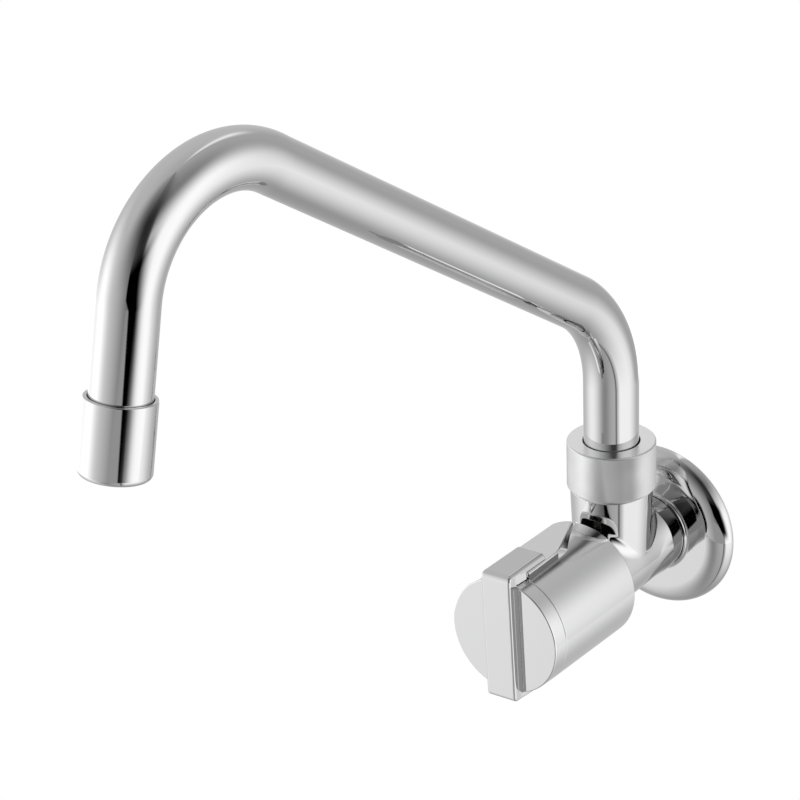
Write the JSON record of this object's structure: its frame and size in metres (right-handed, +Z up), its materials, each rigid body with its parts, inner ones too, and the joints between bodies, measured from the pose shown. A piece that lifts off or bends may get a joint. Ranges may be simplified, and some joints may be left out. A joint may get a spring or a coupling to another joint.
{
  "type": "wall-mounted sink tap",
  "caption": "Chromed wall tap for a kitchen sink: swivelling bent-tube spout with an aerator nozzle, and a round quarter-turn handle with a blade across its face.",
  "frame": {"origin": "on the axis of the inlet tail, in the plane of the wall that the flange rests on", "axes": "+X right seen from the front, +Y into the wall along the inlet tail, +Z up along the tower; the spout is stored swung 6 degrees to the left of straight out"},
  "size_m": [0.0643, 0.2793, 0.2413],
  "materials": {
    "chrome": "polished chrome plate on brass and zinc",
    "brass": "turned, not plated",
    "rubber": "moulded black seal rubber",
    "plastic": "moulded off-white slip plastic",
    "ceramic": "lapped white ceramic",
    "steel": "bright stainless"
  },
  "bodies": {
    "body": {"body_casting": "chrome", "wall_flange": "chrome", "flange_ring": "rubber", "spout_nut": "chrome", "lower_slip_ring": "plastic", "upper_slip_ring": "plastic", "valve_housing": "brass", "housing_ring": "rubber", "seat_seal": "rubber", "fixed_disc": "ceramic"},
    "handle": {"handle_barrel": "chrome", "handle_cap": "chrome", "handle_trim": "chrome", "handle_screw": "steel", "handle_insert": "plastic", "spindle": "brass", "spindle_ring": "rubber", "spindle_clip": "steel", "thrust_washer": "plastic", "moving_disc": "ceramic"},
    "spout": {"spout_tube": "chrome", "spout_pivot": "brass", "pivot_rings": "rubber", "outlet_nipple": "brass", "nozzle_shell": "chrome", "nozzle_washer": "rubber", "aerator_insert": "plastic", "aerator_screens": "steel"}
  },
  "joints": [
    {"name": "spout_swivel", "type": "hinge", "parent": "body", "child": "spout", "pos_m": [0, -0.0321, 0.04], "axis": [0, 0, 1], "range_deg": [-84, 96]},
    {"name": "handle_turn", "type": "hinge", "parent": "body", "child": "handle", "pos_m": [0, -0.07, 0], "axis": [0, -1, 0], "range_deg": [0, 90]}
  ]
}
